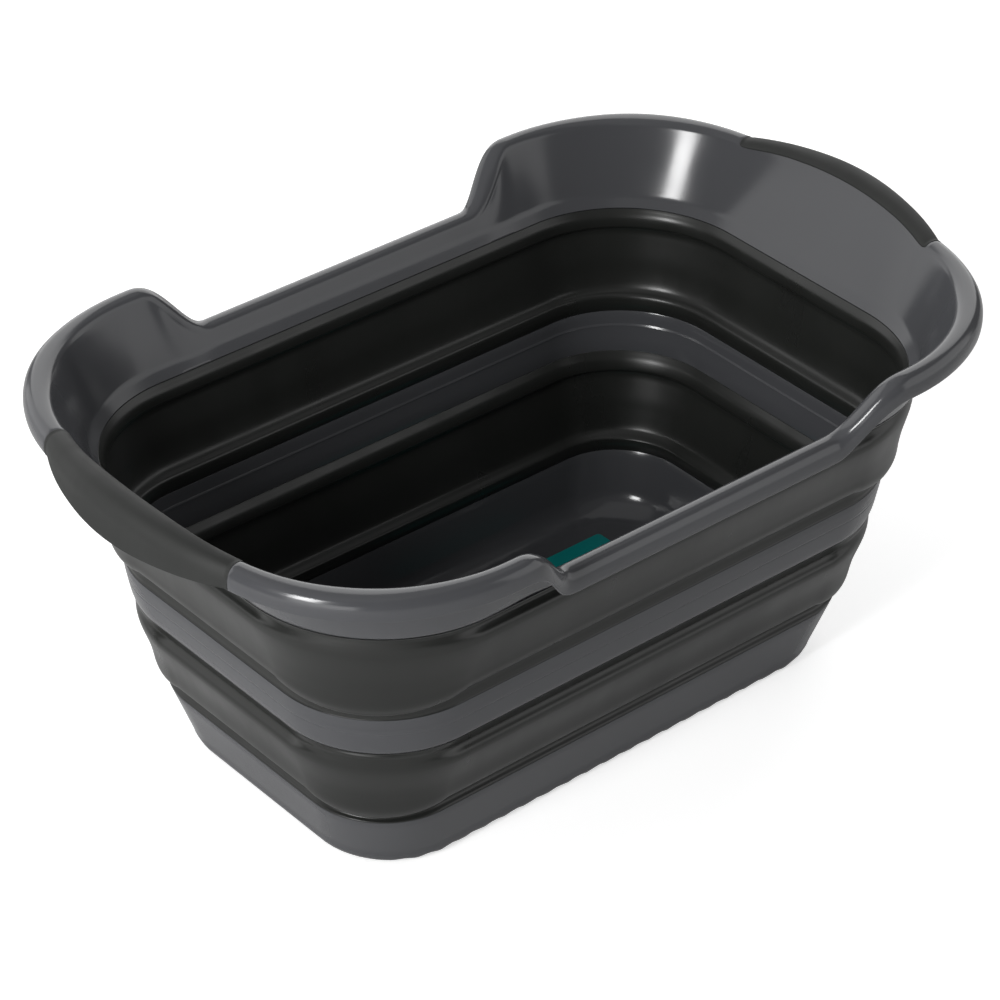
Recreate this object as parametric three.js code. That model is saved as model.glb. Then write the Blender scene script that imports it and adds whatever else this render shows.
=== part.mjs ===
// Collapsible foot-soaking tub. A rigid base tray, a middle ring and a scooped rim frame are joined by
// two flexible bellows, so that the tub folds flat in two stages, and each end of the rim has a soft grip.
// Millimetres, +Z up. The origin is the centre of the underside, and +X runs along the long side.
import * as THREE from 'three';
import { ParametricGeometry } from 'three/addons/geometries/ParametricGeometry.js';

const { PI, abs, atan2, cos, hypot, round, sign, sin } = Math;

// ---- Driving dimensions ----------------------------------------------------------------------------

// The tub's inside as rounded rectangles: half length a, half width b and corner radius r at height z.
const BASE_FOOT = { z: 0, a: 190.8, b: 104.9, r: 50.3 };
const BASE_TOP = { z: 44.7, a: 204.9, b: 116.1, r: 51.6 };
const RING_FOOT = { z: 111.7, a: 225.3, b: 136.2, r: 70.6 };
const RING_TOP = { z: 140.2, a: 230, b: 139.7, r: 72 };
const RIM_FOOT = { z: 212.2, a: 244.4, b: 154.2, r: 90 };
const INSIDE = [BASE_FOOT, BASE_TOP, RING_FOOT, RING_TOP, RIM_FOOT];

const BASE_WALL = 3.6;
const RING_WALL = 2.4;
const RING_EDGE = 1.3; // the ring thins towards both edges
const RIM_WALL = 2.4;
const RIM_FOOT_WIDTH = 7.2; // the rim's foot is a thick band that the upper bellows hangs from
const JOIN_GAP = 0.3; // clearance where a flexible moulding meets a rigid one

// Base tray: a foot ring around a raised floor.
const FOOT_RING_OUTER = 4; // how far the foot ring stands inside the outline at the underside
const FOOT_RING_INNER = 15;
const FOOT_RING_HEIGHT = 1.5;
const FOOT_EDGE_RADIUS = 5;
const FLOOR_THICKNESS = 2.5;
const FLOOR_TOP = FOOT_RING_HEIGHT + FLOOR_THICKNESS;
const FLOOR_FILLET = 15;

// The blank label stuck to the floor, in the corner between +X and +Y.
const LABEL = { length: 110, width: 60, thickness: 0.4, corner: 3, rightEdge: 151, farEdge: 79.6 };

// Rim lip: the centreline of its rolled section, low along the scooped sides and high at the ends.
const LIP = { a: 281.3, b: 170.7, r: 124, bow: -4.3, lowZ: 219.7, highZ: 253.4, flareX: 2.3, flareY: 13.2 };
const LIP_SQUARENESS = 2.25; // exponent of the lip's corners, where 2 is a circle
const LIP_CORNER_TUCK = 2.3; // how much less the corners flare than the tops of the scoops
const LIP_HALF_WIDTH = 8;
const LIP_HALF_HEIGHT = 10.6;
const LIP_SKIRT = 4; // how far the outer skirt hangs below the centreline
const CORNER_WIDER = 2.6; // in the high corners the lip's inner half is wider and has a squarer shoulder
const CORNER_SHOULDER = 1;
const SCOOP_START = 107.3; // distance from the middle at which the lip starts to rise
const SCOOP_END = 147.8;
const SHELF = { out: 6, up: 6.5 }; // the sloping band at the foot of the rim's wall

// In the middle of each end the lip swells into a handle: it moves out and up, grows wider, and its
// skirt gets longer and flares.
const HANDLE = { out: 12.3, up: 6.8, wider: 2.5, skirt: 9.9, flare: 3 };

// Hand grips: each covers the lip for this distance either side of the end's middle.
const GRIP_HALF = 84;
const GRIP_TAPER = 5; // length over which a grip's end thins out
const GRIP_THICKNESS = 2.2;
const GRIP_PROUD = 0.5; // how far the grip stands above the bare lip

// ---- Outlines ---------------------------------------------------------------------------------------

// A station is a direction around a rounded rectangle: cornerX and cornerY (-1 to 1) place the centre of
// the arc it belongs to, or a point along a straight side, and angle is its outward direction.
function quarterStations({ endFractions, cornerSteps, sideFractions }) {
  const quarter = endFractions.map((t) => ({ cornerX: 1, cornerY: t, angle: 0 }));
  for (let k = 0; k <= cornerSteps; k++) {
    quarter.push({ cornerX: 1, cornerY: 1, angle: (k / cornerSteps) * (PI / 2) });
  }
  quarter.push(...sideFractions.map((t) => ({ cornerX: t, cornerY: 1, angle: PI / 2 })));
  return quarter;
}

const mirrorX = (s) => ({ cornerX: -s.cornerX, cornerY: s.cornerY, angle: PI - s.angle });
const mirrorY = (s) => ({ cornerX: s.cornerX, cornerY: -s.cornerY, angle: -s.angle });

// The four quarters in order, counter-clockwise. A station that sits on an axis of symmetry isn't doubled.
function allStations(quarter) {
  const inner = quarter.filter((s) => s.cornerX !== 0);
  const offEnd = quarter.filter((s) => s.cornerY !== 0);
  const offBoth = inner.filter((s) => s.cornerY !== 0);
  return [
    ...quarter,
    ...inner.map(mirrorX).reverse(),
    ...offEnd.map((s) => mirrorX(mirrorY(s))),
    ...offBoth.map(mirrorY).reverse(),
  ];
}

const WALL_STATIONS = allStations(
  quarterStations({ endFractions: [], cornerSteps: 9, sideFractions: [] }),
);

function planPoint(station, a, b, r, squareness = 2) {
  const along = (value) => sign(value) * abs(value) ** (2 / squareness);
  return new THREE.Vector2(
    station.cornerX * (a - r) + r * along(cos(station.angle)),
    station.cornerY * (b - r) + r * along(sin(station.angle)),
  );
}

// The inside outline at height z, moved outwards by the given distance.
function wallPoint(station, z, outwards) {
  const upper = INSIDE.findIndex((section, i) => i > 0 && (z <= section.z || i === INSIDE.length - 1));
  const [low, high] = [INSIDE[upper - 1], INSIDE[upper]];
  const t = (z - low.z) / (high.z - low.z);
  const mix = (key) => low[key] + (high[key] - low[key]) * t;
  return planPoint(station, mix('a') + outwards, mix('b') + outwards, mix('r') + outwards);
}

const smoothstep = THREE.MathUtils.smoothstep;

// ---- Lofted solids ----------------------------------------------------------------------------------

// A ring-shaped solid: pointAt(station, k) is corner k of its closed section at one station, and the
// section's corners run clockwise when seen with the outside on the right.
function ringSolid(stations, sectionCorners, pointAt) {
  const count = stations.length;
  const surface = (u, v, target) => {
    const station = stations[round(u * count) % count];
    target.copy(pointAt(station, round(v * sectionCorners) % sectionCorners));
  };
  return new ParametricGeometry(surface, count, sectionCorners);
}

// A midline with a thickness at each point becomes one closed section: up the outside, down the inside.
function sectionAround(midline) {
  const sides = midline.map((point, i) => {
    const before = midline[Math.max(i - 1, 0)];
    const after = midline[Math.min(i + 1, midline.length - 1)];
    const [dx, dz] = [after.out - before.out, after.z - before.z];
    const length = hypot(dx, dz);
    const isEdge = i === 0 || i === midline.length - 1; // both edges are cut level
    const [nx, nz] = isEdge ? [1, 0] : [dz / length, -dx / length];
    const half = point.thick / 2;
    return {
      outside: { out: point.out + nx * half, z: point.z + nz * half },
      inside: { out: point.out - nx * half, z: point.z - nz * half },
    };
  });
  return [...sides.map((s) => s.outside), ...sides.map((s) => s.inside).reverse()];
}

// A wall that follows the tub's inside, from a midline in (distance outwards, height above z0).
function wallSolid(midline, z0) {
  const section = sectionAround(midline);
  return ringSolid(WALL_STATIONS, section.length, (station, k) => {
    const z = z0 + section[k].z;
    const plan = wallPoint(station, z, section[k].out);
    return new THREE.Vector3(plan.x, plan.y, z);
  });
}

// ---- Base tray --------------------------------------------------------------------------------------

function arcPoints(centreIn, centreZ, radius, from, to, steps) {
  return Array.from({ length: steps + 1 }, (_, i) => {
    const angle = from + ((to - from) * i) / steps;
    return { inset: centreIn - radius * cos(angle), z: centreZ + radius * sin(angle) };
  });
}

// From the centre of the underside, out, up, over the edge and down to the centre of the floor.
// inset is the distance inside the wall's outer face; null is the centre.
function baseTray() {
  const height = BASE_TOP.z;
  const section = [
    { inset: null, z: FOOT_RING_HEIGHT },
    { inset: FOOT_RING_INNER + 1, z: FOOT_RING_HEIGHT },
    { inset: FOOT_RING_INNER, z: 0 },
    { inset: FOOT_RING_OUTER, z: 0 },
    ...arcPoints(FOOT_EDGE_RADIUS, FOOT_EDGE_RADIUS, FOOT_EDGE_RADIUS, -PI / 3, 0, 3),
    { inset: 0, z: height },
    { inset: BASE_WALL, z: height },
    ...arcPoints(BASE_WALL + FLOOR_FILLET, FLOOR_TOP + FLOOR_FILLET, FLOOR_FILLET, 0, -PI / 2, 5),
    { inset: null, z: FLOOR_TOP },
  ];
  const surface = (u, v, target) => {
    const station = WALL_STATIONS[round(u * WALL_STATIONS.length) % WALL_STATIONS.length];
    const { inset, z } = section[round(v * (section.length - 1))];
    const isCentre = inset === null;
    const plan = isCentre ? new THREE.Vector2(0, 0) : wallPoint(station, z, BASE_WALL - inset);
    target.set(plan.x, plan.y, z);
  };
  return new ParametricGeometry(surface, WALL_STATIONS.length, section.length - 1);
}

function floorLabel() {
  const { length, width, thickness, corner } = LABEL;
  const [x, y] = [length / 2, width / 2];
  const outline = new THREE.Shape();
  outline.moveTo(-x + corner, -y);
  outline.lineTo(x - corner, -y);
  outline.absarc(x - corner, -y + corner, corner, -PI / 2, 0);
  outline.absarc(x - corner, y - corner, corner, 0, PI / 2);
  outline.absarc(-x + corner, y - corner, corner, PI / 2, PI);
  outline.absarc(-x + corner, -y + corner, corner, PI, 1.5 * PI);
  return new THREE.ExtrudeGeometry(outline, { depth: thickness, bevelEnabled: false, curveSegments: 4 });
}

// ---- Middle ring and bellows ------------------------------------------------------------------------

// The ring is crowned outside: it thins towards both edges, where the bellows' grooves begin.
function middleRing() {
  const height = RING_TOP.z - RING_FOOT.z;
  const crown = 3; // height of each thinned edge
  return wallSolid(
    [
      { out: RING_EDGE / 2, z: 0, thick: RING_EDGE },
      { out: RING_WALL / 2, z: crown, thick: RING_WALL },
      { out: RING_WALL / 2, z: height - crown, thick: RING_WALL },
      { out: RING_EDGE / 2, z: height, thick: RING_EDGE },
    ],
    RING_FOOT.z,
  );
}

// A bellows has a thin hinge band at its foot and at its head, drawn in to make grooves outside, and a
// thicker panel between them. footWidth and headWidth are the thicknesses of the edges it is bonded to,
// and lean is how much further out the panel's upper part stands.
function bellows(foot, head, footWidth, headWidth, lean) {
  const height = head.z - foot.z;
  const edge = (z, thick) => ({ out: thick / 2, z, thick });
  return wallSolid(
    [
      edge(JOIN_GAP, footWidth),
      { out: -1.2, z: 3.5, thick: 1.8 },
      { out: -1.6, z: 7, thick: 1.5 },
      { out: -0.6, z: 10, thick: 1.8 },
      { out: 2.6, z: 13, thick: 2.2 },
      { out: 3 + lean * 0.5, z: height * 0.5, thick: 2.2 },
      { out: 3.4 + lean * 0.8, z: height - 18, thick: 2.4 },
      { out: 2.6 + lean * 0.7, z: height - 12, thick: 2.4 },
      { out: -0.6 + lean * 0.6, z: height - 8.5, thick: 1.8 },
      { out: -1.2 + lean * 0.4, z: height - 4.5, thick: 1.6 },
      edge(height - JOIN_GAP, headWidth),
    ],
    foot.z,
  );
}

// ---- Rim frame --------------------------------------------------------------------------------------

const LIP_STRAIGHT_END = LIP.b - LIP.r; // half length of the straight part of an end

// The station at a distance across an end, measured from its middle and positive towards +Y.
function endStation(distance) {
  const past = abs(distance) - LIP_STRAIGHT_END;
  if (past <= 0) return { cornerX: 1, cornerY: distance / LIP_STRAIGHT_END, angle: 0 };
  const turned = Math.asin((past / LIP.r) ** (LIP_SQUARENESS / 2));
  return { cornerX: 1, cornerY: sign(distance), angle: sign(distance) * turned };
}

function rimQuarter() {
  const cornerSteps = 9;
  const straight = LIP.a - LIP.r;
  const endDistances = [0, 0.22, 0.44, 0.66, 0.86].map((t) => t * (GRIP_HALF - GRIP_TAPER));
  endDistances.push(GRIP_HALF - GRIP_TAPER, GRIP_HALF - GRIP_TAPER / 2, GRIP_HALF, GRIP_HALF + 1);
  const quarter = endDistances.map(endStation);
  const firstAngle = quarter.at(-1).angle;
  for (let k = 1; k <= cornerSteps; k++) {
    const angle = firstAngle + (PI / 2 - firstAngle) * (k / cornerSteps);
    quarter.push({ cornerX: 1, cornerY: 1, angle });
  }
  const scoopSteps = 8;
  for (let k = 0; k <= scoopSteps; k++) {
    const x = SCOOP_END + (SCOOP_START - SCOOP_END) * (k / scoopSteps);
    quarter.push({ cornerX: x / straight, cornerY: 1, angle: PI / 2 });
  }
  quarter.push({ cornerX: SCOOP_START / straight / 2, cornerY: 1, angle: PI / 2 });
  quarter.push({ cornerX: 0, cornerY: 1, angle: PI / 2 });
  return quarter;
}

const RIM_STATIONS = allStations(rimQuarter());

// How much of a grip lies at a station: 0 off the grip, 1 on it, with a taper at its ends.
function gripCover(station) {
  if (abs(station.cornerX) < 1) return 0;
  const distance = abs(planPoint(station, LIP.a, LIP.b, LIP.r, LIP_SQUARENESS).y);
  return smoothstep(GRIP_HALF - distance, 0, GRIP_TAPER);
}

// The handle's crescent: 1 in the middle of an end, 0 at a grip's ends and beyond.
function handleCrown(y) {
  const t = y / GRIP_HALF;
  return abs(t) < 1 ? (1 - t * t) ** 1.2 : 0;
}

// The lip's centreline at a station, with the section's outward and upward directions.
function lipFrame(station) {
  const centre = (s) => {
    const flat = planPoint(s, LIP.a, LIP.b, LIP.r, LIP_SQUARENESS);
    const rise = smoothstep(abs(flat.x), SCOOP_START, SCOOP_END);
    const tuck = smoothstep(abs(flat.x), SCOOP_END, LIP.a - LIP.r / 2);
    const bowed = THREE.MathUtils.clamp((abs(flat.x) - SCOOP_END) / (LIP.a - SCOOP_END), 0, 1);
    const bow = 1 + (LIP.bow / LIP.a) * (1 - (flat.y / LIP.b) ** 2) * bowed;
    return new THREE.Vector3(
      flat.x * bow + cos(s.angle) * LIP.flareX * rise,
      flat.y + sin(s.angle) * (LIP.flareY * rise - LIP_CORNER_TUCK * tuck),
      LIP.lowZ + (LIP.highZ - LIP.lowZ) * rise,
    );
  };
  const step = 1e-3;
  const isCorner = abs(station.cornerX) === 1 && abs(station.cornerY) === 1;
  const next = isCorner
    ? { ...station, angle: station.angle + step }
    : {
        ...station,
        cornerX: station.cornerX - step * sin(station.angle),
        cornerY: station.cornerY + step * cos(station.angle),
      };
  const point = centre(station);
  const along = centre(next).sub(point).normalize();
  const outwards = new THREE.Vector3(along.y, -along.x, 0).normalize();
  const upwards = new THREE.Vector3().crossVectors(outwards, along).normalize();
  return { point, outwards, upwards };
}

// The lip's section: outwards and upwards from its centre at an angle.
function archPoint(angle, crown, corner) {
  const isInner = cos(angle) < 0;
  const power = isInner ? 2 / (2 + CORNER_SHOULDER * corner) : 1;
  const width = LIP_HALF_WIDTH + HANDLE.wider * crown + (isInner ? CORNER_WIDER * corner : 0);
  return {
    out: width * sign(cos(angle)) * abs(cos(angle)) ** power,
    up: LIP_HALF_HEIGHT * abs(sin(angle)) ** power,
  };
}

const ARCH_STEPS = 8;
const RIM_WALL_STEPS = 4;
const TRIED_ANGLES = Array.from({ length: 147 }, (_, i) => THREE.MathUtils.degToRad(105 + i / 2));

// Everything about the rim at a station that its section and the grip's section share.
function rimPlaces(station) {
  const { point, outwards, upwards } = lipFrame(station);
  const crown = handleCrown(abs(point.x) > SCOOP_END ? point.y : GRIP_HALF);
  const high = smoothstep(point.z, LIP.lowZ, LIP.highZ);
  const corner = high * (2 * outwards.x * outwards.y) ** 2;
  const centre = point.clone().addScaledVector(outwards, HANDLE.out * crown);
  centre.z += HANDLE.up * crown;
  const plan = planPoint(station, RIM_FOOT.a, RIM_FOOT.b, RIM_FOOT.r);
  const foot = new THREE.Vector3(plan.x, plan.y, RIM_FOOT.z + JOIN_GAP / 2);
  const shelf = foot.clone().addScaledVector(outwards, SHELF.out);
  shelf.z += SHELF.up;
  return { centre, outwards, upwards, crown, corner, foot, shelf };
}

// The angle at which a straight wall up from the shelf touches the lip's section.
function touchingAngle({ centre, outwards, upwards, crown, corner, shelf }) {
  const below = shelf.clone().sub(centre);
  const [shelfOut, shelfUp] = [below.dot(outwards), below.dot(upwards)];
  const turn = (angle) => {
    const { out, up } = archPoint(angle, crown, corner);
    return atan2(up - shelfUp, out - shelfOut);
  };
  return TRIED_ANGLES.reduce((best, angle) => (turn(angle) > turn(best) ? angle : best));
}

// From the top of the wall, over the lip and down its skirt, all moved inwards by depth.
function lipArch(places, depth) {
  const { centre, outwards, upwards, crown, corner } = places;
  const start = touchingAngle(places);
  const place = (out, up) =>
    centre.clone().addScaledVector(outwards, out).addScaledVector(upwards, up);
  const arch = Array.from({ length: ARCH_STEPS + 1 }, (_, i) => {
    const angle = start * (1 - i / ARCH_STEPS);
    const { out, up } = archPoint(angle, crown, corner);
    return place(out - depth * cos(angle), up - depth * sin(angle));
  });
  const edge = LIP_HALF_WIDTH + HANDLE.wider * crown - depth;
  for (const t of [0.5, 1]) {
    const flare = (HANDLE.flare * crown - 0.5) * t * t;
    arch.push(place(edge + flare, -(LIP_SKIRT + HANDLE.skirt * crown) * t));
  }
  return arch;
}

// The rim's section at a station: a sloping shelf, then a wall that rolls over as the lip.
function rimSection(station) {
  const places = rimPlaces(station);
  const { foot, shelf, outwards } = places;
  const recess = gripCover(station) * (GRIP_THICKNESS + JOIN_GAP - GRIP_PROUD);
  const outer = lipArch(places, recess);
  const inner = lipArch(places, recess + RIM_WALL);
  const outFoot = foot.clone().addScaledVector(outwards, RIM_FOOT_WIDTH);
  const wall = (from, to) =>
    Array.from({ length: RIM_WALL_STEPS }, (_, i) => from.clone().lerp(to, i / RIM_WALL_STEPS));
  return [
    ...wall(outFoot, inner[0]),
    ...inner,
    ...wall(shelf, outer[0]).concat(outer).reverse(),
    foot,
  ];
}

function rimFrame() {
  const sections = new Map(RIM_STATIONS.map((station) => [station, rimSection(station)]));
  const corners = sections.get(RIM_STATIONS[0]).length;
  return ringSolid(RIM_STATIONS, corners, (station, k) => sections.get(station)[k]);
}

// ---- Hand grips -------------------------------------------------------------------------------------

// A soft cover over the lip of one end. Its section is the lip's own arch, moved out by its thickness,
// and it thins to nothing at both ends.
function handGrip(side) {
  const reach = GRIP_HALF - 0.4;
  const steps = 20;
  const stations = Array.from({ length: steps + 1 }, (_, i) => {
    const t = -cos((PI * i) / steps);
    return endStation(t * reach);
  });
  const sections = stations.map((station, i) => {
    const places = rimPlaces(station);
    const recess = gripCover(station) * (GRIP_THICKNESS + JOIN_GAP - GRIP_PROUD);
    const atTip = i === 0 || i === steps;
    const under = atTip ? -GRIP_PROUD / 2 : recess - JOIN_GAP;
    const over = atTip ? under : -GRIP_PROUD;
    return [...lipArch(places, under), ...lipArch(places, over).reverse()];
  });
  const corners = sections[0].length;
  const surface = (u, v, target) => {
    target.copy(sections[round(u * steps)][round(v * corners) % corners]);
    target.x *= side;
    target.y *= side;
  };
  return new ParametricGeometry(surface, steps, corners);
}

// ---- Assembly ---------------------------------------------------------------------------------------

const rigidGrey = new THREE.MeshStandardMaterial({ color: 0x5c5d60, roughness: 0.35, metalness: 0 });
const softBlack = new THREE.MeshStandardMaterial({ color: 0x232523, roughness: 0.5, metalness: 0 });
const gripBlack = new THREE.MeshStandardMaterial({ color: 0x2e302c, roughness: 0.6, metalness: 0 });
const labelTeal = new THREE.MeshStandardMaterial({ color: 0x00695f, roughness: 0.4, metalness: 0 });

const tub = new THREE.Group();

function addPart(name, geometry, material) {
  const mesh = new THREE.Mesh(geometry, material);
  mesh.name = name;
  tub.add(mesh);
  return mesh;
}

addPart('base_tray', baseTray(), rigidGrey);
addPart('lower_bellows', bellows(BASE_TOP, RING_FOOT, BASE_WALL, RING_EDGE, 0.6), softBlack);
addPart('middle_ring', middleRing(), rigidGrey);
addPart('upper_bellows', bellows(RING_TOP, RIM_FOOT, RING_EDGE, RIM_FOOT_WIDTH, 2.4), softBlack);
addPart('rim_frame', rimFrame(), rigidGrey);
addPart('right_grip', handGrip(1), gripBlack);
addPart('left_grip', handGrip(-1), gripBlack);

const label = addPart('floor_label', floorLabel(), labelTeal);
label.position.set(LABEL.rightEdge - LABEL.length / 2, LABEL.farEdge - LABEL.width / 2, FLOOR_TOP);

export default tub;
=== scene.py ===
"""The looks of a collapsible foot-soaking tub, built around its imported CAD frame.

The tub's sizes are in millimetres and are divided by MM when a mesh is made; the studio's are in metres.
+X runs along the long side, +Z is up, and the origin is the centre of the underside.
"""
import math
from collections import namedtuple

import bpy
import numpy as np
from mathutils import Matrix, Vector


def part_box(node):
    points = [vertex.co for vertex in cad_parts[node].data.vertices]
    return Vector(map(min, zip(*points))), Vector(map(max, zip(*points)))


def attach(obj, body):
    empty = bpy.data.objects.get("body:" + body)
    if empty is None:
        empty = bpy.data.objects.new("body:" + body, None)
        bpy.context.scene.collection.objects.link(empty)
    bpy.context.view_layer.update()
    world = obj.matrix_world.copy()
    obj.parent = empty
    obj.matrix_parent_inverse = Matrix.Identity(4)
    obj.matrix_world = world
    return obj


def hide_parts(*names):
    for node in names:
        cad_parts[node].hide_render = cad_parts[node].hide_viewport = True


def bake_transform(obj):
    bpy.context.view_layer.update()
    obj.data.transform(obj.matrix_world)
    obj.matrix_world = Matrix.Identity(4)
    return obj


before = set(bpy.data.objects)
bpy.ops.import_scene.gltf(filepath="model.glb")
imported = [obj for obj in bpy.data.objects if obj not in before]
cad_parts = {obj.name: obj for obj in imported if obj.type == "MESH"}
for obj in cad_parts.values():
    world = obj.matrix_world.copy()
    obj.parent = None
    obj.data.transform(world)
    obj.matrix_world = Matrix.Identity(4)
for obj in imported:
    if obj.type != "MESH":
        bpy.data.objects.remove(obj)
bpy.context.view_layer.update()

MM = 1000.0

# ---- Driving sizes ----------------------------------------------------------------------------------


def node_size(node):
    """Half length, half width, lowest and highest point of a CAD node, in millimetres."""
    low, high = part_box(node)
    return high.x * MM, high.y * MM, low.z * MM, high.z * MM


# The tub's inside: half length a, half width b and corner radius r of a rounded rectangle, at height z.
Outline = namedtuple("Outline", "z a b r")

BASE_WALL = 3.6
RING_WALL = 2.4
RING_EDGE = 1.3  # the ring's thickness at its two edges
RIM_WALL = 2.4
RIM_FOOT_WIDTH = 7.2
JOIN = 0.12  # half the width of the fine line where a soft moulding meets a stiff one

base_a, base_b, _, base_top = node_size("base_tray")
ring_a, ring_b, ring_foot, ring_top = node_size("middle_ring")
_, _, _, bellows_top = node_size("upper_bellows")

# How far inside the outermost point of its part each outline lies, lengthwise and across.
BASE_FOOT_INSET = 17.7, 14.8
RING_FOOT_INSET = 6.6, 5.5
RING_TOP_INSET = 1.9, 2.0
RIM_GAP = 0.3  # between the upper bellows and the rim in the CAD

BASE_FOOT = Outline(0, base_a - BASE_FOOT_INSET[0], base_b - BASE_FOOT_INSET[1], 50.3)
BASE_TOP = Outline(base_top, base_a - BASE_WALL, base_b - BASE_WALL, 51.6)
RING_FOOT = Outline(ring_foot, ring_a - RING_FOOT_INSET[0], ring_b - RING_FOOT_INSET[1], 70.6)
RING_TOP = Outline(ring_top, ring_a - RING_TOP_INSET[0], ring_b - RING_TOP_INSET[1], 72.0)
RIM_FOOT = Outline(bellows_top + RIM_GAP, 244.4, 154.2, 90.0)
INSIDE = (BASE_FOOT, BASE_TOP, RING_FOOT, RING_TOP, RIM_FOOT)

# The lip's centreline: low along the scooped sides, high at the ends, with squarish corners.
LIP_A, LIP_B, LIP_R = 281.3, 170.7, 124.0
LIP_SQUARENESS = 2.25  # 2 would make its corners round
LIP_BOW = -4.3  # how much further out the middle of each end lies
LIP_LOW, LIP_HIGH = 219.7, 253.4
LIP_FLARE_X, LIP_FLARE_Y, LIP_CORNER_TUCK = 2.3, 13.2, 2.3
LIP_HALF_WIDTH, LIP_HALF_HEIGHT, LIP_SKIRT = 8.0, 10.6, 4.0
LIP_SHOULDER = 0.3  # how much squarer than an ellipse the lip's section is
CORNER_WIDER, CORNER_SHOULDER = 2.6, 0.7  # in the high corners its inner half is wider and squarer still
SCOOP_START, SCOOP_END = 102.2, 152.9  # the lip rises between these distances from the middle
LIP_TILT = 0.15  # how far its section leans over there: 0 is upright, 1 is square to the slope
SHELF_OUT, SHELF_UP = 6.0, 6.5  # the sloping band at the foot of the rim's wall

# At the middle of each end the lip swells into a handle under the grip.
GRIP_HALF = 84.0
HANDLE_OUT, HANDLE_UP, HANDLE_WIDER = 12.3, 6.8, 2.5
HANDLE_SKIRT, HANDLE_FLARE = 9.9, 3.0
GRIP_THICKNESS = 2.2
GRIP_PROUD = 0.6

FOOT_RING_HEIGHT = 1.5
FLOOR_TOP = 4.0
FLOOR_FILLET = 15.0

# ---- Curves -----------------------------------------------------------------------------------------


def smoothstep(x, low, high):
    """0 up to low, 1 from high on, and an even slope between them."""
    t = np.clip((x - low) / (high - low), 0, 1)
    return t * t * (3 - 2 * t)


def smootherstep(x, low, high):
    """Like smoothstep, but it leaves 0 and reaches 1 more gently."""
    t = np.clip((x - low) / (high - low), 0, 1)
    return t**3 * (t * (6 * t - 15) + 10)


def curve_through(points, steps):
    """A smooth curve through the points, with that many steps between each pair (Catmull-Rom)."""
    points = np.array(points, float)
    ends = np.vstack([2 * points[0] - points[1], points, 2 * points[-1] - points[-2]])
    t = np.arange(steps)[:, None] / steps
    spans = []
    for p0, p1, p2, p3 in zip(ends, ends[1:], ends[2:], ends[3:]):
        bend = 2 * p0 - 5 * p1 + 4 * p2 - p3
        twist = 3 * p1 - p0 - 3 * p2 + p3
        spans.append(0.5 * (2 * p1 + (p2 - p0) * t + bend * t**2 + twist * t**3))
    return np.vstack(spans + [points[-1:]])


def arc(centre, radius, start, end, steps):
    """Points on an arc, angles in degrees."""
    angle = np.radians(np.linspace(start, end, steps + 1))
    return np.c_[centre[0] + radius * np.cos(angle), centre[1] + radius * np.sin(angle)]


# A station is a row (corner_x, corner_y, angle): the corner, or point along a straight side, that it
# belongs to, from -1 to 1, and its outward direction.


def whole_loop(quarter):
    """All four quarters, counter-clockwise, from the one between +X and +Y, which includes both axes."""
    quarter = np.array(quarter, float)
    second = quarter[-2::-1] * (-1, 1, -1) + (0, 0, math.pi)
    third = quarter[1:] * (-1, -1, 1) + (0, 0, math.pi)
    fourth = quarter[-2:0:-1] * (1, -1, -1) + (0, 0, 2 * math.pi)
    return np.vstack([quarter, second, third, fourth])


def plan(stations, a, b, r, squareness=2.0):
    """x and y of each station on a rounded rectangle."""
    cos, sin = np.cos(stations[:, 2]), np.sin(stations[:, 2])
    cos = np.sign(cos) * np.abs(cos) ** (2 / squareness)
    sin = np.sign(sin) * np.abs(sin) ** (2 / squareness)
    return stations[:, 0] * (a - r) + r * cos, stations[:, 1] * (b - r) + r * sin


def wall_stations(along_end, in_corner, along_side):
    """Stations for the walls, from the number wanted on each part of a quarter."""
    quarter = [(1, t, 0) for t in np.linspace(0, 1, along_end, endpoint=False)]
    quarter += [(1, 1, angle) for angle in np.linspace(0, math.pi / 2, in_corner)]
    quarter += [(t, 1, math.pi / 2) for t in np.linspace(1, 0, along_side + 1)[1:]]
    return whole_loop(quarter)


WALL_STATIONS = wall_stations(along_end=12, in_corner=40, along_side=27)
CORNER_BREADTH = 0.7  # the smaller it is, the further a wall's corner profile reaches round


def inside_point(stations, z, outwards):
    """Points of the tub's inside at height z, moved outwards; z and outwards may differ by station."""
    z = np.broadcast_to(z, len(stations)).astype(float)
    heights = [outline.z for outline in INSIDE]
    a, b, r = (np.interp(z, heights, [getattr(o, key) for o in INSIDE]) for key in "abr")
    x, y = plan(stations, a + outwards, b + outwards, r + outwards)
    return np.c_[x, y, z]


# ---- Meshes -----------------------------------------------------------------------------------------

SHARP_DEGREES = 38  # edges that turn by more than this are shaded as sharp


def mesh_object(name, points, faces, sharp_degrees=SHARP_DEGREES):
    """A smoothly shaded object from points in millimetres."""
    mesh = bpy.data.meshes.new(name)
    mesh.from_pydata((np.asarray(points) / MM).tolist(), [], faces)
    mesh.validate()
    mesh.shade_smooth()
    mesh.set_sharp_from_angle(angle=math.radians(sharp_degrees))
    made = bpy.data.objects.new(name, mesh)
    bpy.context.scene.collection.objects.link(made)
    return made


def quad_faces(rows, columns, wrap_rows=True, wrap_columns=True):
    """Faces of a grid whose point (row, column) has index row * columns + column."""
    faces = []
    for row in range(rows if wrap_rows else rows - 1):
        for column in range(columns if wrap_columns else columns - 1):
            next_row, next_column = (row + 1) % rows, (column + 1) % columns
            corners = (row, column), (next_row, column), (next_row, next_column), (row, next_column)
            faces.append([r * columns + c for r, c in corners])
    return faces


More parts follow.
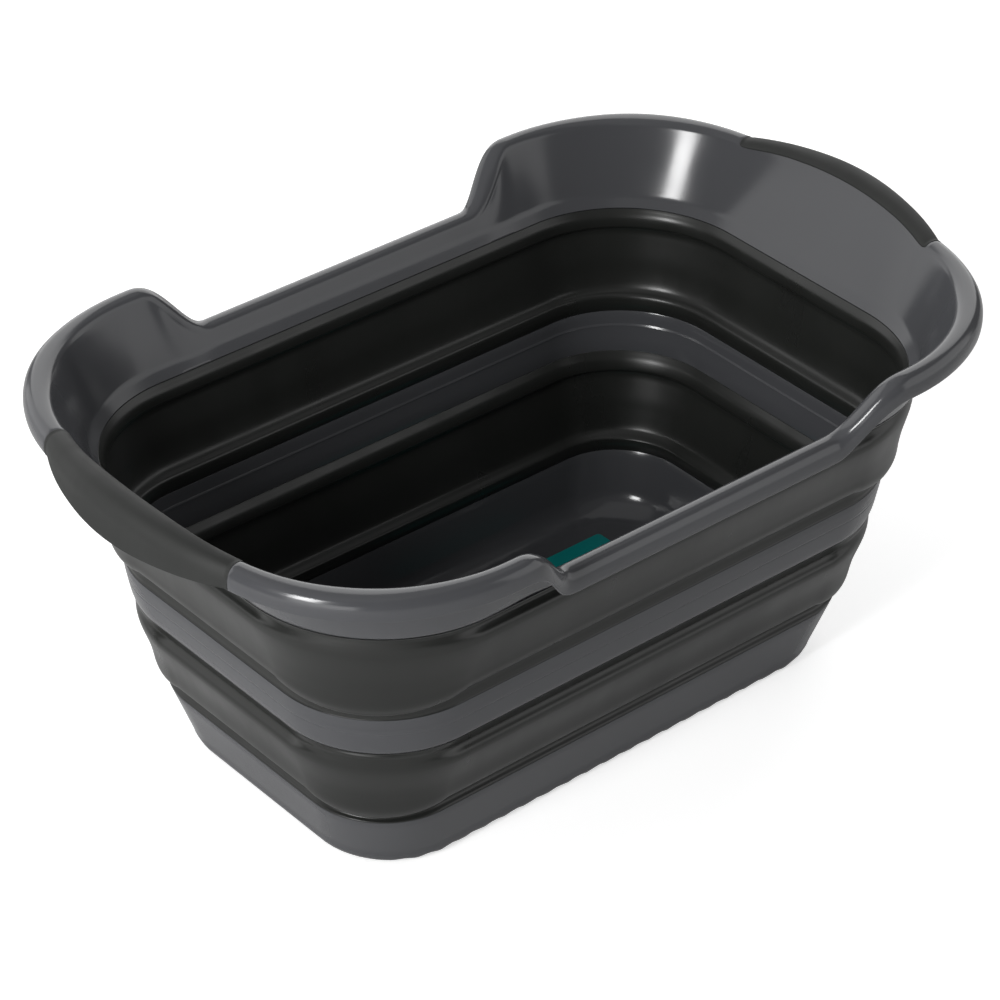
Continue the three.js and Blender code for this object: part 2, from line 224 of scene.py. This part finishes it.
def capped_faces(rows, columns):
    """Faces of a grid that closes along its rows, with one flat face over each of its two open ends."""
    faces = quad_faces(rows, columns, wrap_columns=False)
    faces.append([row * columns for row in reversed(range(rows))])
    faces.append([row * columns + columns - 1 for row in range(rows)])
    return faces


def ring_object(name, grid, sharp_degrees=SHARP_DEGREES):
    """A closed ring from a grid [station, section corner, xyz]."""
    rows, columns = grid.shape[:2]
    return mesh_object(name, grid.reshape(-1, 3), quad_faces(rows, columns), sharp_degrees)


def wall_object(name, outer, inner, corner_outer=None):
    """A wall between an outer and an inner profile, each rows of (outwards, z) from foot to head.
    corner_outer is the outer profile in the middle of the corners, if it differs there."""
    corner = np.abs(np.sin(2 * WALL_STATIONS[:, 2])) ** CORNER_BREADTH
    section = np.vstack([outer, inner[::-1]])
    changed = section if corner_outer is None else np.vstack([corner_outer, inner[::-1]])
    columns = []
    for (out, z), (corner_out, corner_z) in zip(section, changed):
        heights = z + (corner_z - z) * corner
        columns.append(inside_point(WALL_STATIONS, heights, out + (corner_out - out) * corner))
    return ring_object(name, np.stack(columns, axis=1))


# ---- Materials --------------------------------------------------------------------------------------


class Shader:
    """A Principled material with helpers for chaining nodes."""

    def __init__(self, name):
        self.material = bpy.data.materials.new(name)
        self.material.use_nodes = True
        self.tree = self.material.node_tree
        self.surface = self.tree.nodes["Principled BSDF"]
        self.coordinates = self.tree.nodes.new("ShaderNodeTexCoord").outputs["Object"]

    def node(self, kind, **settings):
        made = self.tree.nodes.new(kind)
        for key, value in settings.items():
            setattr(made, key, value)
        return made

    def link(self, output, socket):
        self.tree.links.new(output, socket)

    def noise(self, scale, detail=3.0, stretch=(1, 1, 1)):
        """Noise from 0 to 1 over the object's own coordinates, with about scale lumps to the metre."""
        mapping = self.node("ShaderNodeMapping")
        mapping.inputs["Scale"].default_value = stretch
        self.link(self.coordinates, mapping.inputs["Vector"])
        texture = self.node("ShaderNodeTexNoise")
        texture.inputs["Scale"].default_value = scale
        texture.inputs["Detail"].default_value = detail
        self.link(mapping.outputs["Vector"], texture.inputs["Vector"])
        return texture.outputs["Fac"]

    def ranged(self, value, low, high, source=(0.3, 0.7)):
        """The value mapped from the source range to low and high."""
        ranged = self.node("ShaderNodeMapRange")
        ranged.inputs["From Min"].default_value = source[0]
        ranged.inputs["From Max"].default_value = source[1]
        ranged.inputs["To Min"].default_value = low
        ranged.inputs["To Max"].default_value = high
        self.link(value, ranged.inputs["Value"])
        return ranged.outputs["Result"]

    def colours(self, value, first, second):
        """A base colour from first to second as the value goes from 0 to 1."""
        mix = self.node("ShaderNodeMix", data_type="RGBA")
        mix.inputs["A"].default_value = (*first, 1)
        mix.inputs["B"].default_value = (*second, 1)
        self.link(value, mix.inputs["Factor"])
        self.link(mix.outputs["Result"], self.surface.inputs["Base Color"])

    def bumps(self, *layers):
        """Each layer is (value, strength, height in millimetres)."""
        normal = None
        for value, strength, height in layers:
            bump = self.node("ShaderNodeBump")
            bump.inputs["Strength"].default_value = strength
            bump.inputs["Distance"].default_value = height / MM
            self.link(value, bump.inputs["Height"])
            if normal is not None:
                self.link(normal, bump.inputs["Normal"])
            normal = bump.outputs["Normal"]
        self.link(normal, self.surface.inputs["Normal"])


def stiff_plastic():
    """Glossy moulded polypropylene: mid grey, faintly clouded, with a slight ripple in its reflections."""
    shader = Shader("stiff_plastic")
    shader.colours(shader.noise(9.0), (0.062, 0.0635, 0.0685), (0.071, 0.0725, 0.0785))
    shader.link(shader.ranged(shader.noise(26.0, 4.0), 0.15, 0.21), shader.surface.inputs["Roughness"])
    shader.surface.inputs["IOR"].default_value = 1.5
    shader.bumps((shader.noise(14.0, 1.0), 0.2, 0.4), (shader.noise(700.0, 2.0), 0.05, 0.02))
    return shader.material


def soft_elastomer(name, first, second, roughness):
    """Satin thermoplastic elastomer: cloudy colour, a sheen with upright streaks and a very fine skin."""
    shader = Shader(name)
    shader.colours(shader.noise(16.0, 5.0), first, second)
    streaks = shader.noise(30.0, 5.0, (1, 1, 0.12))
    shader.link(shader.ranged(streaks, *roughness), shader.surface.inputs["Roughness"])
    shader.surface.inputs["IOR"].default_value = 1.5
    shader.bumps((shader.noise(30.0, 2.0), 0.2, 0.4), (shader.noise(2200.0, 2.0), 0.18, 0.03))
    return shader.material


def label_film():
    """Printed film: even teal with a faint grain."""
    shader = Shader("label_film")
    shader.colours(shader.noise(60.0, 2.0), (0.0, 0.24, 0.232), (0.0, 0.265, 0.255))
    shader.link(shader.ranged(shader.noise(90.0), 0.3, 0.42), shader.surface.inputs["Roughness"])
    shader.bumps((shader.noise(900.0, 2.0), 0.1, 0.02))
    return shader.material


def floor_paint():
    """Matt white that glows a little for the camera only, which keeps shadows on it faint."""
    shader = Shader("floor_paint")
    shader.colours(shader.noise(2.0), (0.72, 0.72, 0.72), (0.75, 0.75, 0.75))
    shader.surface.inputs["Roughness"].default_value = 0.9
    shader.surface.inputs["Specular IOR Level"].default_value = 0.1
    shader.surface.inputs["Emission Color"].default_value = (1, 1, 1, 1)
    seen = shader.node("ShaderNodeLightPath").outputs["Is Camera Ray"]
    shader.link(shader.ranged(seen, 0, 0.62, (0, 1)), shader.surface.inputs["Emission Strength"])
    return shader.material


STIFF = stiff_plastic()
BELLOWS = soft_elastomer(
    "bellows_elastomer", (0.011, 0.0118, 0.0108), (0.017, 0.0179, 0.0163), roughness=(0.26, 0.38)
)
GRIP = soft_elastomer(
    "grip_elastomer", (0.0125, 0.0135, 0.0126), (0.017, 0.0182, 0.0166), roughness=(0.6, 0.72)
)
LABEL = label_film()


def finish_piece(piece, material, node):
    """Gives a piece its material and slot, and lets it take the place of its CAD node."""
    piece.data.materials.append(material)
    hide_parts(node)
    return piece


# ---- Base tray --------------------------------------------------------------------------------------

FOOT_EDGE = 5.0  # radius of the edge around the underside
FOOT_INSET = -12.6  # where the foot ring meets the recessed underside
SCALLOP_PITCH, SCALLOP_HEIGHT = 17.0, 1.5  # small moulded feet along both long sides
SCALLOP_FADE = 0.5, 6.5  # the scallops die away between these heights


def base_tray():
    """A cup from the recessed underside, over a scalloped foot ring and the wall, down to the floor."""
    edge = arc((BASE_WALL - FOOT_EDGE, FOOT_EDGE), FOOT_EDGE, -62, 0, 8)
    fillet_centre = (-FLOOR_FILLET, FLOOR_TOP + FLOOR_FILLET)
    outer = np.vstack(
        [
            [(-16, FOOT_RING_HEIGHT + 0.4), (-13, FOOT_RING_HEIGHT + 0.4)],
            [(-12, 0.4), (-11.4, 0), (-4, 0), (-1.6, 0.25)],
            edge,
            [(BASE_WALL + 0.25, 7.2), (BASE_WALL, 8.2)],
            [(BASE_WALL, z) for z in np.linspace(14, BASE_TOP.z - 0.9, 6)],
            [(BASE_WALL - 0.2, BASE_TOP.z - 0.3), (BASE_WALL - 0.7, BASE_TOP.z - JOIN)],
        ]
    )
    inner = np.vstack(
        [
            [(0.2, BASE_TOP.z - JOIN), (0, BASE_TOP.z - 0.6)],
            [(0, z) for z in np.linspace(BASE_TOP.z - 5, FLOOR_TOP + FLOOR_FILLET, 5)],
            arc(fillet_centre, FLOOR_FILLET, 0, -90, 14)[1:],
            [(-18, FLOOR_TOP), (-24, FLOOR_TOP - 0.25), (-30, FLOOR_TOP - 0.3)],
        ]
    )
    section = np.vstack([outer, inner])
    low_a, low_b = BASE_FOOT.a + BASE_WALL, BASE_FOOT.b + BASE_WALL
    x, y = plan(WALL_STATIONS, low_a, low_b, BASE_FOOT.r + BASE_WALL)
    step = np.hypot(np.diff(x, append=x[0]), np.diff(y, append=y[0]))
    travelled = np.cumsum(step) - step
    all_round = travelled[-1] + step[-1]
    feet = round(travelled[-1] / SCALLOP_PITCH)
    lift = 0.5 - 0.5 * np.cos(2 * math.pi * feet * travelled / all_round)
    lift *= SCALLOP_HEIGHT * smoothstep(np.abs(np.sin(WALL_STATIONS[:, 2])), 0.7, 1)
    grid = []
    for out, z in section:
        points = inside_point(WALL_STATIONS, z, out)
        if out > FOOT_INSET:
            points[:, 2] += lift * (1 - smoothstep(z, *SCALLOP_FADE))
        grid.append(points)
    grid = np.stack(grid, axis=1)
    return mesh_object("base_tray_shell", grid.reshape(-1, 3), capped_faces(*grid.shape[:2]))


# ---- Middle ring ------------------------------------------------------------------------------------

RING_LINE = 129.95  # height of the fine moulding lines around the ring
DOUBLE_LINE_APART, DOUBLE_LINE_HALF_WIDTH, DOUBLE_LINE_DEPTH = 3.2, 0.6, 0.22


def middle_ring():
    """A band that thins towards both edges, with one fine ledge inside and a double line outside."""
    foot, head = RING_FOOT.z, RING_TOP.z
    outer = curve_through(
        [
            (RING_EDGE - 0.3, foot + JOIN),
            (RING_EDGE + 0.3, foot + 1.2),
            (RING_WALL - 0.2, foot + 4.5),
            (RING_WALL, foot + 9),
            (RING_WALL, RING_LINE - 3),
        ],
        4,
    )
    lines = []
    for z in (RING_LINE - DOUBLE_LINE_APART / 2, RING_LINE + DOUBLE_LINE_APART / 2):
        lines.append((RING_WALL, z - DOUBLE_LINE_HALF_WIDTH))
        lines.append((RING_WALL - DOUBLE_LINE_DEPTH, z))
        lines.append((RING_WALL, z + DOUBLE_LINE_HALF_WIDTH))
    above = curve_through(
        [
            (RING_WALL, RING_LINE + 3),
            (RING_WALL, head - 9),
            (RING_WALL - 0.2, head - 4.5),
            (RING_EDGE + 0.3, head - 1.2),
            (RING_EDGE, head - JOIN),
        ],
        4,
    )
    inner = [
        (0.2, foot + JOIN),
        (0, foot + 0.6),
        (0, (foot + RING_LINE) / 2),
        (0, RING_LINE - 0.3),
        (-0.7, RING_LINE - 0.1),
        (-0.7, RING_LINE + 0.1),
        (-0.05, RING_LINE + 1.1),
        (0, RING_LINE + 1.3),
        (0, RING_LINE + 1.8),
        (0, (head + RING_LINE) / 2),
        (0, head - 0.6),
        (0.2, head - JOIN),
    ]
    return wall_object("middle_ring_shell", np.vstack([outer, lines, above]), np.array(inner))


# ---- Bellows ----------------------------------------------------------------------------------------


def bellows(name, foot, head, foot_width, head_width, lean, crease):
    """Thin hinge bands at the foot and the head, drawn in outside as grooves and ridged inside, with a
    cushion-like panel between them. The grooves close up towards the corners. lean is how much further
    out the panel's upper part stands, and crease is how high above the foot the panel begins."""
    low, high = foot.z, head.z
    middle = (low + high) / 2
    outer_side = [
        (foot_width - 0.2, low + JOIN),
        (foot_width - 0.9, low + 1.2),
        (-0.3, low + 3.4),
        (-1.5, low + 6.6),
        (-1.8, low + crease - 4.6),
        (1.8, low + crease - 2.4),
        (4.2, low + crease),
        (4.5 + 0.3 * lean, low + crease + 4),
        (3.9 + 0.5 * lean, low + 26),
        (3.9 + 0.7 * lean, middle),
        (4.7 + lean, high - 22),
        (4.7 + lean, high - 17.2),
        (3.4 + lean, high - 13.8),
        (0.2 + lean, high - 11.4),
        (-1.3 + 0.9 * lean, high - 9.4),
        (-0.9 + 0.9 * lean, high - 5.4),
        (head_width - 1.0, high - 1.8),
        (head_width - 0.3, high - JOIN),
    ]
    outer_corner = [
        (foot_width - 0.1, low + JOIN),
        (foot_width - 0.4, low + 0.8),
        (0.9, low + 2.0),
        (0.6, low + 3.6),
        (1.6, low + 5.0),
        (5.0, low + 7.4),
        (6.0, low + 10.0),
        (6.2 + 0.3 * lean, low + 15),
        (5.0 + 0.5 * lean, low + 24),
        (4.2 + 0.7 * lean, middle),
        (4.3 + lean, high - 20),
        (4.0 + lean, high - 14.5),
        (3.1 + lean, high - 10.5),
        (2.1 + lean, high - 7.2),
        (1.5 + 0.9 * lean, high - 4.8),
        (1.2 + 0.9 * lean, high - 2.8),
        (head_width - 0.7, high - 1.2),
        (head_width - 0.3, high - JOIN),
    ]
    inner = [
        (0, low + JOIN),
        (-1.0, low + 1.6),
        (-2.4, low + 4.6),
        (-3.1, low + 7.6),
        (-2.9, low + crease - 3.6),
        (0.4, low + crease - 1.4),
        (2.1, low + crease + 1.8),
        (2.1 + 0.3 * lean, low + 25),
        (1.9 + 0.4 * lean, middle),
        (2.2 + 0.5 * lean, high - 24),
        (2.3 + 0.5 * lean, high - 17.6),
        (1.1 + 0.4 * lean, high - 14.4),
        (-1.8 + 0.2 * lean, high - 12.4),
        (-2.7 + 0.2 * lean, high - 10.0),
        (-2.3, high - 5.0),
        (-0.8, high - 1.6),
        (0, high - JOIN),
    ]
    return wall_object(
        name,
        curve_through(outer_side, 5),
        curve_through(inner, 5),
        corner_outer=curve_through(outer_corner, 5),
    )


# ---- Rim frame --------------------------------------------------------------------------------------

LIP_STRAIGHT_END = LIP_B - LIP_R  # half of the nearly straight stretch across an end


def end_stations(distances):
    """Stations across the +X end at distances from its middle, positive towards +Y."""
    distances = np.asarray(distances, float)
    past = np.maximum(np.abs(distances) - LIP_STRAIGHT_END, 0)
    angle = np.sign(distances) * np.arcsin((past / LIP_R) ** (LIP_SQUARENESS / 2))
    corner_y = np.clip(distances / LIP_STRAIGHT_END, -1, 1)
    return np.c_[np.ones(len(distances)), corner_y, angle]


def rim_stations(across_grip, in_corner, on_slope, on_low_part):
    """Stations for the rim, from the number wanted on each part of a quarter."""
    end = end_stations(np.linspace(0, GRIP_HALF + 2, across_grip))
    angles = np.linspace(end[-1, 2], math.pi / 2, in_corner + 1)[1:]
    corner = np.c_[np.ones(in_corner), np.ones(in_corner), angles]
    straight = LIP_A - LIP_R
    slope = np.linspace(SCOOP_END + 2, SCOOP_START - 4, on_slope) / straight
    side = np.r_[slope, np.linspace(slope[-1], 0, on_low_part + 1)[1:]]
    long_side = np.c_[side, np.ones(len(side)), np.full(len(side), math.pi / 2)]
    return whole_loop(np.vstack([end, corner, long_side]))


def lip_line(stations):
    """The lip's centreline: raised and flared beyond the scoops, tucked in at the corners and bowed across
    the ends."""
    x, y = plan(stations, LIP_A, LIP_B, LIP_R, LIP_SQUARENESS)
    rise = smootherstep(np.abs(x), SCOOP_START, SCOOP_END)
    tuck = smoothstep(np.abs(x), SCOOP_END, LIP_A - LIP_R / 2)
    bowed = np.clip((np.abs(x) - SCOOP_END) / (LIP_A - SCOOP_END), 0, 1)
    bow = 1 + LIP_BOW / LIP_A * (1 - (y / LIP_B) ** 2) * bowed
    cos, sin = np.cos(stations[:, 2]), np.sin(stations[:, 2])
    return np.c_[
        x * bow + cos * LIP_FLARE_X * rise,
        y + sin * (LIP_FLARE_Y * rise - LIP_CORNER_TUCK * tuck),
        LIP_LOW + (LIP_HIGH - LIP_LOW) * rise,
    ]


def lip_frame(stations, closed=True):
    """The lip's centreline with its level outward direction and its upward direction at each station."""
    line = lip_line(stations)
    if closed:
        along = np.roll(line, -1, 0) - np.roll(line, 1, 0)
    else:
        along = np.gradient(line, axis=0)
    along[:, 2] *= LIP_TILT
    along /= np.linalg.norm(along, axis=1)[:, None]
    outwards = np.c_[along[:, 1], -along[:, 0], np.zeros(len(along))]
    outwards /= np.linalg.norm(outwards, axis=1)[:, None]
    return line, outwards, np.cross(outwards, along)


def handle_crown(line):
    """1 in the middle of an end, falling to 0 at the grip's ends."""
    t = np.clip(np.abs(line[:, 1]) / GRIP_HALF, 0, 1)
    return np.where(np.abs(line[:, 0]) > SCOOP_END, (1 - t * t) ** 1.2, 0)


ARCH_STEPS = np.linspace(0, 1, 27)  # from the wall over the lip to its outermost line
SKIRT_DROPS = np.linspace(0, 1, 8)[1:]  # from there down to the skirt's edge
SKIRT_TUCK = 0.5  # how far the skirt leans in at its edge, away from the handles


def arch_point(angle, crown, corner):
    """The lip's section, outwards and upwards from its centre: an ellipse made a little squarer, with its
    inner half wider and squarer still in the corners."""
    inside = np.cos(angle) < 0
    power = 2 / (2 + LIP_SHOULDER + CORNER_SHOULDER * corner * inside)
    width = LIP_HALF_WIDTH + HANDLE_WIDER * crown + CORNER_WIDER * corner * inside
    out = width * np.sign(np.cos(angle)) * np.abs(np.cos(angle)) ** power
    return out, LIP_HALF_HEIGHT * np.sin(angle) ** power


def lip_arch(lip, crown, wall_start, depth, trim=0.0):
    """Points [station, step] from where the wall runs smoothly into the lip, over it and down the skirt,
    moved in by depth. trim leaves out part of the arch at its start."""
    line, outwards, upwards = lip
    high = smoothstep(line[:, 2], LIP_LOW, LIP_HIGH)[:, None]
    corner = high * (2 * outwards[:, :1] * outwards[:, 1:2]) ** 2
    crown = crown[:, None]
    middle = line + outwards * HANDLE_OUT * crown + (0, 0, HANDLE_UP) * crown
    foot = wall_start - middle
    across, below = (np.sum(foot * axis, axis=1)[:, None] for axis in (outwards, upwards))
    # The wall touches the arch at the point that, seen from the wall's start, lies furthest inwards.
    tried = np.radians(np.linspace(105, 178, 293))[None]
    out, up = arch_point(tried, crown, corner)
    touching = np.argmax(np.arctan2(up - below, out - across), axis=1)
    start = tried[0][touching][:, None]
    angle = start * (1 - trim) * (1 - ARCH_STEPS)
    out, up = arch_point(angle, crown, corner)
    edge = LIP_HALF_WIDTH + HANDLE_WIDER * crown
    skirt = (LIP_SKIRT + HANDLE_SKIRT * crown) * SKIRT_DROPS
    flare = (HANDLE_FLARE * crown - SKIRT_TUCK) * SKIRT_DROPS**2
    facing_out = np.hstack([np.cos(angle), np.ones_like(flare)])
    facing_up = np.hstack([np.sin(angle), np.zeros_like(flare)])
    out = np.hstack([out, edge + flare]) - depth * facing_out
    up = np.hstack([up, -skirt]) - depth * facing_up
    return middle[:, None] + outwards[:, None] * out[..., None] + upwards[:, None] * up[..., None]


def rounded_corner(before, corner, after, reach, steps=7):
    """Points of a curve that cuts a corner, starting and ending reach away from it or nearer, so that
    it stays within half of each side."""

    def towards(end):
        step = end - corner
        length = np.linalg.norm(step, axis=1)[:, None]
        return corner + step / length * np.minimum(reach, 0.45 * length)

    start, finish = towards(before), towards(after)
    t = np.linspace(0, 1, steps)[:, None, None]
    curve = (1 - t) ** 2 * start + 2 * t * (1 - t) * corner + t**2 * finish
    return list(curve)


def wall_foot(stations, outwards):
    """The foot of the rim's wall, and the top of the sloping band above it."""
    x, y = plan(stations, RIM_FOOT.a, RIM_FOOT.b, RIM_FOOT.r)
    foot = np.c_[x, y, np.full(len(x), RIM_FOOT.z + JOIN)]
    return foot, foot + outwards * SHELF_OUT + (0, 0, SHELF_UP)


SEAT_SLOPE = 3.0  # the seat deepens over this distance at a grip's ends
SEAT_START = 0.03, 0.1  # and between these fractions of the arch, counted from the wall


def grip_seat(stations):
    """How deep the rim is let in under the grips, at each station and step of the arch and skirt."""
    distance = np.abs(plan(stations, LIP_A, LIP_B, LIP_R, LIP_SQUARENESS)[1])
    covered = smoothstep(GRIP_HALF - distance, 0, SEAT_SLOPE) * (np.abs(stations[:, 0]) == 1)
    across = np.r_[smoothstep(ARCH_STEPS, *SEAT_START), np.ones(len(SKIRT_DROPS))]
    return covered[:, None] * across * (GRIP_THICKNESS - GRIP_PROUD)


SHELF_ROUNDING = 2.6


def rim_frame():
    """One closed section swept round: up the wall's back, under and over the lip, and down the inside."""
    stations = rim_stations(across_grip=40, in_corner=45, on_slope=44, on_low_part=13)
    lip = lip_frame(stations)
    line, outwards, upwards = lip
    crown = handle_crown(line)
    foot, shelf = wall_foot(stations, outwards)
    recess = grip_seat(stations)
    outer = lip_arch(lip, crown, shelf, recess)
    inner = lip_arch(lip, crown, shelf, recess + RIM_WALL)
    shelf_round = rounded_corner(foot, shelf, outer[:, 0], SHELF_ROUNDING)

    # Out along the foot, and up the back of the wall.
    out_foot = foot + outwards * RIM_FOOT_WIDTH
    columns = [out_foot - outwards * 0.6, out_foot + (0, 0, 0.7)]
    for t in np.linspace(0.08, 0.94, 8):
        columns.append(out_foot + (inner[:, 0] - out_foot) * t)

    # Under the lip to the skirt's edge, and back over the lip.
    columns += [inner[:, k] for k in range(inner.shape[1])]
    columns.append((outer[:, -1] + inner[:, -1]) / 2 - upwards * 0.8)
    columns += [outer[:, k] for k in reversed(range(outer.shape[1]))]

    # Down the wall's inside, round onto the sloping band, and down that to the foot.
    for t in np.linspace(0.1, 0.9, 7):
        columns.append(outer[:, 0] + (shelf_round[-1] - outer[:, 0]) * t)
    columns += reversed(shelf_round)
    for t in (0.35, 0.7, 0.93):
        columns.append(shelf_round[0] + (foot - shelf_round[0]) * t)
    columns.append(foot + outwards * 0.35)
    return ring_object("rim_frame_shell", np.stack(columns, axis=1), sharp_degrees=50)


# ---- Grips ------------------------------------------------------------------------------------------

GRIP_CLEARANCE = 0.1  # between a grip and its seat
GRIP_END_GAP = 0.2  # between the grip's ends and the seat's
GRIP_EDGE_BULGE = 0.5
GRIP_TIP_SQUARENESS = 24
GRIP_TIP_TRIM = 0.09  # the part of the arch that is left bare at the very tips


def hand_grip(name, side):
    """A soft cover over the lip of one end, bulging outwards as a handle and rounded at its tips."""
    spread = np.sin(np.linspace(-math.pi / 2, math.pi / 2, 90))
    stations = end_stations(spread * (GRIP_HALF - GRIP_END_GAP))
    lip = lip_frame(stations, closed=False)
    line, outwards, upwards = lip
    crown = handle_crown(line)
    _, shelf = wall_foot(stations, outwards)
    under = grip_seat(stations) - GRIP_CLEARANCE
    swell = np.sqrt(np.clip(1 - np.abs(spread) ** GRIP_TIP_SQUARENESS, 0, 1))[:, None]
    over = under * (1 - swell) - GRIP_PROUD * swell
    trim = GRIP_TIP_TRIM * (1 - swell)
    outer = lip_arch(lip, crown, shelf, over, trim)
    inner = lip_arch(lip, crown, shelf, under, trim)
    wall_edge, skirt_edge = (
        (outer[:, k] + inner[:, k]) / 2 - upwards * GRIP_EDGE_BULGE * swell for k in (0, -1)
    )
    columns = [wall_edge[:, None], inner, skirt_edge[:, None], outer[:, ::-1]]
    grid = np.concatenate(columns, axis=1) * (side, side, 1)
    rows, count = grid.shape[:2]
    faces = quad_faces(rows, count, wrap_rows=False)
    faces.append(list(range(count)))
    faces.append([(rows - 1) * count + k for k in reversed(range(count))])
    return mesh_object(name, grid.reshape(-1, 3), faces, sharp_degrees=60)


# ---- Label ------------------------------------------------------------------------------------------


LABEL_RADIUS = 3.0


def floor_label():
    """A blank film with rounded corners, its edge rolled down onto the floor."""
    low, high = (np.array(corner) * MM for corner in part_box("floor_label"))
    middle, half = (low + high) / 2, (high - low) / 2
    quarter = np.c_[np.ones(10), np.ones(10), np.linspace(0, math.pi / 2, 10)]
    stations = whole_loop(np.vstack([[(1, 0, 0)], quarter, [(0, 1, math.pi / 2)]]))
    rings = []
    for inset, z in ((0.4, low[2] - 0.25), (0, low[2] - 0.1), (0, high[2] - 0.1), (0.3, high[2])):
        x, y = plan(stations, half[0] - inset, half[1] - inset, LABEL_RADIUS)
        rings.append(np.c_[middle[0] + x, middle[1] + y, np.full(len(x), z)])
    grid = np.stack(rings, axis=1)
    return mesh_object("floor_label_film", grid.reshape(-1, 3), capped_faces(*grid.shape[:2]))


# ---- Assembly ---------------------------------------------------------------------------------------

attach(finish_piece(base_tray(), STIFF, "base_tray"), "base")
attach(finish_piece(floor_label(), LABEL, "floor_label"), "base")
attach(finish_piece(middle_ring(), STIFF, "middle_ring"), "ring")
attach(finish_piece(rim_frame(), STIFF, "rim_frame"), "rim")
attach(finish_piece(hand_grip("right_grip_cover", 1), GRIP, "right_grip"), "rim")
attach(finish_piece(hand_grip("left_grip_cover", -1), GRIP, "left_grip"), "rim")

lower = bellows(
    "lower_bellows_skin", BASE_TOP, RING_FOOT, BASE_WALL, RING_EDGE, lean=0.6, crease=13.2
)
finish_piece(lower, BELLOWS, "lower_bellows")
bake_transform(lower)

upper = bellows(
    "upper_bellows_skin", RING_TOP, RIM_FOOT, RING_EDGE, RIM_FOOT_WIDTH, lean=2.4, crease=15.5
)
finish_piece(upper, BELLOWS, "upper_bellows")
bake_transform(upper)

# ---- Studio, in metres ------------------------------------------------------------------------------

STUDIO_REACH = 6.0
STUDIO_DROP = 0.0004  # keeps the studio's floor clear of the underside
LIGHTS_AIM = Vector((0, 0, 0.13))  # the middle of the tub


def studio_floor():
    corners = [(x * STUDIO_REACH, y * STUDIO_REACH, 0) for x, y in ((-1, -1), (1, -1), (1, 1), (-1, 1))]
    mesh = bpy.data.meshes.new("studio_floor")
    mesh.from_pydata(corners, [], [(0, 1, 2, 3)])
    made = bpy.data.objects.new("studio_floor", mesh)
    made.location.z = -STUDIO_DROP
    made.data.materials.append(floor_paint())
    bpy.context.scene.collection.objects.link(made)


def softbox(name, turn, tilt, distance, size, power):
    """An area light that faces the middle of the tub, turn degrees round from +X and tilt degrees up.
    power is in watts."""
    light = bpy.data.lights.new(name, "AREA")
    light.shape = "RECTANGLE"
    light.size, light.size_y = size
    light.energy = power
    made = bpy.data.objects.new(name, light)
    turn, tilt = math.radians(turn), math.radians(tilt)
    level = distance * math.cos(tilt)
    offset = Vector((level * math.cos(turn), level * math.sin(turn), distance * math.sin(tilt)))
    made.location = LIGHTS_AIM + offset
    made.rotation_mode = "QUATERNION"
    made.rotation_quaternion = (-offset).to_track_quat("-Z", "Y")
    bpy.context.scene.collection.objects.link(made)


def studio_world(strength):
    """Even light of that strength all round, seen as white behind the floor's far edge."""
    world = bpy.data.worlds.new("studio_world")
    world.use_nodes = True
    tree = world.node_tree
    background = tree.nodes["Background"]
    background.inputs["Color"].default_value = (1, 1, 1, 1)
    seen = tree.nodes.new("ShaderNodeLightPath").outputs["Is Camera Ray"]
    brightness = tree.nodes.new("ShaderNodeMapRange")
    brightness.inputs["To Min"].default_value = strength
    brightness.inputs["To Max"].default_value = 1.0
    tree.links.new(seen, brightness.inputs["Value"])
    tree.links.new(brightness.outputs["Result"], background.inputs["Strength"])
    bpy.context.scene.world = world


def studio_camera():
    """A long lens from above the near left end, turned slightly about its own axis."""
    azimuth, elevation, roll = math.radians(-41.04), math.radians(34.53), math.radians(0.98)
    distance, aim_height = 2.4457, 0.1118
    shift_right, shift_up = 0.0055, -0.02305
    sensor_millimetres, lens_millimetres = 36, 139.8
    back = Vector(
        (
            math.sin(azimuth) * math.cos(elevation),
            -math.cos(azimuth) * math.cos(elevation),
            math.sin(elevation),
        )
    )
    level_right = Vector((math.cos(azimuth), math.sin(azimuth), 0))
    level_up = back.cross(level_right)
    right = level_right * math.cos(roll) + level_up * math.sin(roll)
    up = level_up * math.cos(roll) - level_right * math.sin(roll)
    data = bpy.data.cameras.new("studio_camera")
    data.sensor_width = sensor_millimetres
    data.lens = lens_millimetres
    made = bpy.data.objects.new("studio_camera", data)
    place = Vector((0, 0, aim_height)) + back * distance - right * shift_right - up * shift_up
    turn = Matrix((right, up, back)).transposed().to_4x4()
    made.matrix_world = Matrix.Translation(place) @ turn
    bpy.context.scene.collection.objects.link(made)
    bpy.context.scene.camera = made


studio_floor()
studio_world(0.14)
softbox("backdrop_softbox", 49, 23, 2.6, (3.2, 2.3), 40)
softbox("far_left_softbox", 118, 21, 2.6, (2.6, 2.2), 22)
softbox("right_softbox", -40, 18, 2.6, (2.8, 1.9), 17)
softbox("top_softbox", 120, 80, 2.4, (3.6, 3.0), 9)
softbox("left_softbox", -165, 27, 2.2, (0.45, 0.8), 29)
softbox("left_fill", -155, 6, 2.6, (1.6, 0.9), 12)
studio_camera()
bpy.context.scene.view_settings.view_transform = "Standard"
